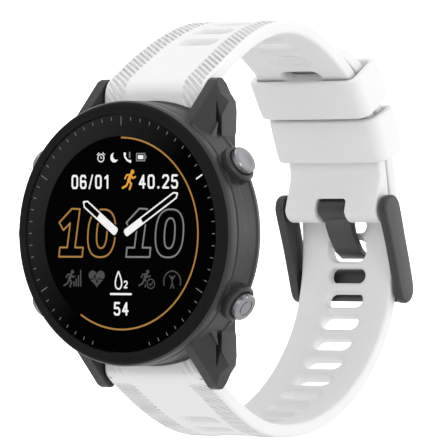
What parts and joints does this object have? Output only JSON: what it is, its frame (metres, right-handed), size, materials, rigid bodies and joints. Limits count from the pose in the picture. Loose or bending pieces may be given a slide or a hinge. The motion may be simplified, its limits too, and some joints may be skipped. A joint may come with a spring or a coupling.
{
  "type": "gps running watch",
  "caption": "Round sports watch with a domed dark case, side push buttons, a slotted silicone strap, two keepers and a pin buckle, closed in a loop.",
  "frame": {"origin": "middle of the wrist space inside the closed strap loop, 38 mm behind the display glass", "axes": "+Z towards 12 o'clock (up), -Y out of the display towards the viewer, +X towards 3 o'clock"},
  "size_m": [0.0495, 0.0727, 0.0747],
  "materials": {
    "case_polymer": "matte fibre-reinforced polymer",
    "bezel_polymer": "fine satin",
    "lens_glass": "polished",
    "display_black": "gloss",
    "gasket_black": "matte",
    "frame_metal": "satin",
    "antenna_copper": "plated",
    "board_green": "solder mask",
    "battery_foil": "foil pouch",
    "motor_steel": "satin",
    "buzzer_brass": "satin",
    "switch_plastic": "matte",
    "cover_polymer": "fine matte",
    "contact_gold": "gold plated",
    "screw_steel": "satin",
    "sensor_glass": "polished dark",
    "button_steel": "satin face, polished side",
    "clip_steel": "spring steel",
    "bar_steel": "satin",
    "silicone_white": "matte silicone",
    "buckle_metal": "dark satin coating"
  },
  "bodies": {
    "watch": {"case_body": "case_polymer", "bezel": "bezel_polymer", "lens": "lens_glass", "lens_gasket": "gasket_black", "display_module": "display_black", "display_frame": "frame_metal", "gnss_antenna": "antenna_copper", "main_board": "board_green", "battery": "battery_foil", "vibration_motor": "motor_steel", "piezo_buzzer": "buzzer_brass", "tactile_switches": "switch_plastic", "rear_cover": "cover_polymer", "charging_contacts": "contact_gold", "case_seal": "gasket_black", "rear_screws": "screw_steel", "sensor_window": "sensor_glass", "sensor_board": "board_green", "spring_bar_upper": "bar_steel", "spring_bar_lower": "bar_steel", "strap_buckle_side": "silicone_white", "strap_tail_side": "silicone_white", "buckle_bar": "bar_steel", "button_seals": "gasket_black"},
    "button_start": {"button_start": "button_steel", "clip_start": "clip_steel"},
    "button_back": {"button_back": "button_steel", "clip_back": "clip_steel"},
    "button_light": {"button_light": "button_steel", "clip_light": "clip_steel"},
    "button_up": {"button_up": "button_steel", "clip_up": "clip_steel"},
    "button_down": {"button_down": "button_steel", "clip_down": "clip_steel"},
    "release_upper": {"release_pin_upper": "bar_steel"},
    "keeper_upper_body": {"keeper_upper": "silicone_white"},
    "release_lower": {"release_pin_lower": "bar_steel"},
    "keeper_lower_body": {"keeper_lower": "silicone_white"},
    "buckle_frame_body": {"buckle_frame": "buckle_metal"},
    "buckle_tongue_body": {"buckle_tongue": "buckle_metal"}
  },
  "joints": [
    {"name": "press_start", "type": "slide", "parent": "watch", "child": "button_start", "axis": [-0.866, 0, -0.5], "range_m": [0, 0.0008], "stiffness_N_per_m": 2500, "springref_m": -0.0003},
    {"name": "press_back", "type": "slide", "parent": "watch", "child": "button_back", "axis": [-0.866, 0, 0.5], "range_m": [0, 0.0008], "stiffness_N_per_m": 2500, "springref_m": -0.0003},
    {"name": "press_light", "type": "slide", "parent": "watch", "child": "button_light", "axis": [0.866, 0, -0.5], "range_m": [0, 0.0008], "stiffness_N_per_m": 2500, "springref_m": -0.0003},
    {"name": "press_up", "type": "slide", "parent": "watch", "child": "button_up", "axis": [1, 0, 0], "range_m": [0, 0.0008], "stiffness_N_per_m": 2500, "springref_m": -0.0003},
    {"name": "press_down", "type": "slide", "parent": "watch", "child": "button_down", "axis": [0.866, 0, 0.5], "range_m": [0, 0.0008], "stiffness_N_per_m": 2500, "springref_m": -0.0003},
    {"name": "release_upper", "type": "slide", "parent": "watch", "child": "release_upper", "axis": [-1, 0, 0], "range_m": [0, 0.0016], "stiffness_N_per_m": 1200, "springref_m": -0.0005},
    {"name": "release_lower", "type": "slide", "parent": "watch", "child": "release_lower", "axis": [-1, 0, 0], "range_m": [0, 0.0016], "stiffness_N_per_m": 1200, "springref_m": -0.0005},
    {"name": "keeper_upper_slide", "type": "hinge", "parent": "watch", "child": "keeper_upper_body", "pos_m": [0, -0.0024, 0.0056], "axis": [1, 0, 0], "range_deg": [0, 4.8]},
    {"name": "keeper_lower_slide", "type": "hinge", "parent": "watch", "child": "keeper_lower_body", "pos_m": [0, -0.0024, 0.0056], "axis": [1, 0, 0], "range_deg": [-4.8, 0]},
    {"name": "buckle_open", "type": "hinge", "parent": "watch", "child": "buckle_frame_body", "pos_m": [0, 0.02715, 0.0045], "axis": [1, 0, 0], "range_deg": [0, 75]},
    {"name": "tongue_rock", "type": "hinge", "parent": "watch", "child": "buckle_tongue_body", "pos_m": [0, 0.02715, 0.0045], "axis": [1, 0, 0], "range_deg": [0, 4]}
  ]
}
